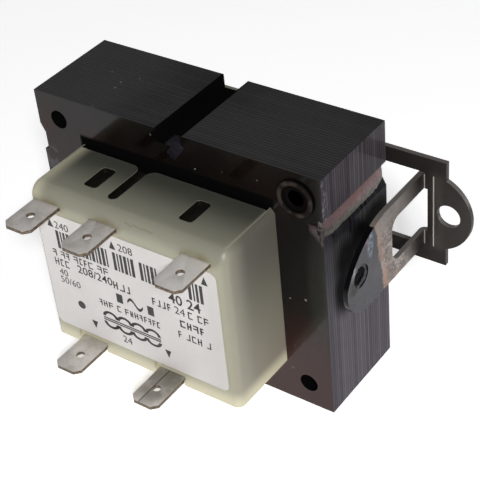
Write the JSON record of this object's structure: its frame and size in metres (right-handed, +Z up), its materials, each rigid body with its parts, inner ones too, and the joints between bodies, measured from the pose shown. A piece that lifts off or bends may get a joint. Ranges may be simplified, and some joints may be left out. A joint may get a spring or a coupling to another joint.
{
  "type": "control transformer",
  "caption": "Small chassis transformer: laminated core with welded joints, nylon-capped coil with quick-connect blades, and a stamped side bracket with an ear and a bent tongue.",
  "frame": {"origin": "centre of the core's bottom face, which it stands on", "axes": "+X along the core towards the bracket, +Y from the blades towards the back, +Z up"},
  "size_m": [0.0845, 0.0586, 0.0556],
  "materials": {
    "core_steel": "dark glossy varnish over laminated steel",
    "weld": "dull weld metal",
    "eyelet_steel": "varnished steel",
    "bobbin_nylon": "natural nylon",
    "winding_wire": "enamelled copper wire",
    "coil_tape": "yellow film tape",
    "insulation_paper": "brown fibre paper",
    "tinned_blade": "tinned brass with bare sheared edges",
    "fuse_body": "painted metal can",
    "cover_nylon": "translucent natural nylon",
    "label_paper": "white label stock",
    "bracket_steel": "plain steel with heat tint"
  },
  "bodies": {
    "root": {"core_e_stack": "core_steel", "core_i_stack": "core_steel", "core_weld_left": "weld", "core_weld_right": "weld", "notch_weld": "weld", "core_eyelet": "eyelet_steel", "bobbin": "bobbin_nylon", "primary_winding": "winding_wire", "secondary_winding": "winding_wire", "primary_tape": "coil_tape", "secondary_tape": "coil_tape", "window_liner_left": "insulation_paper", "window_liner_right": "insulation_paper", "core_wedge": "insulation_paper", "primary_blade_left": "tinned_blade", "primary_blade_middle": "tinned_blade", "primary_blade_right": "tinned_blade", "secondary_blade_left": "tinned_blade", "secondary_blade_right": "tinned_blade", "primary_lead_left": "winding_wire", "primary_lead_right": "winding_wire", "secondary_lead_left": "winding_wire", "secondary_lead_right": "winding_wire", "thermal_fuse": "fuse_body", "front_cover": "cover_nylon", "rear_cover": "cover_nylon", "label": "label_paper", "mounting_bracket": "bracket_steel", "bracket_welds": "weld"}
  },
  "joints": []
}
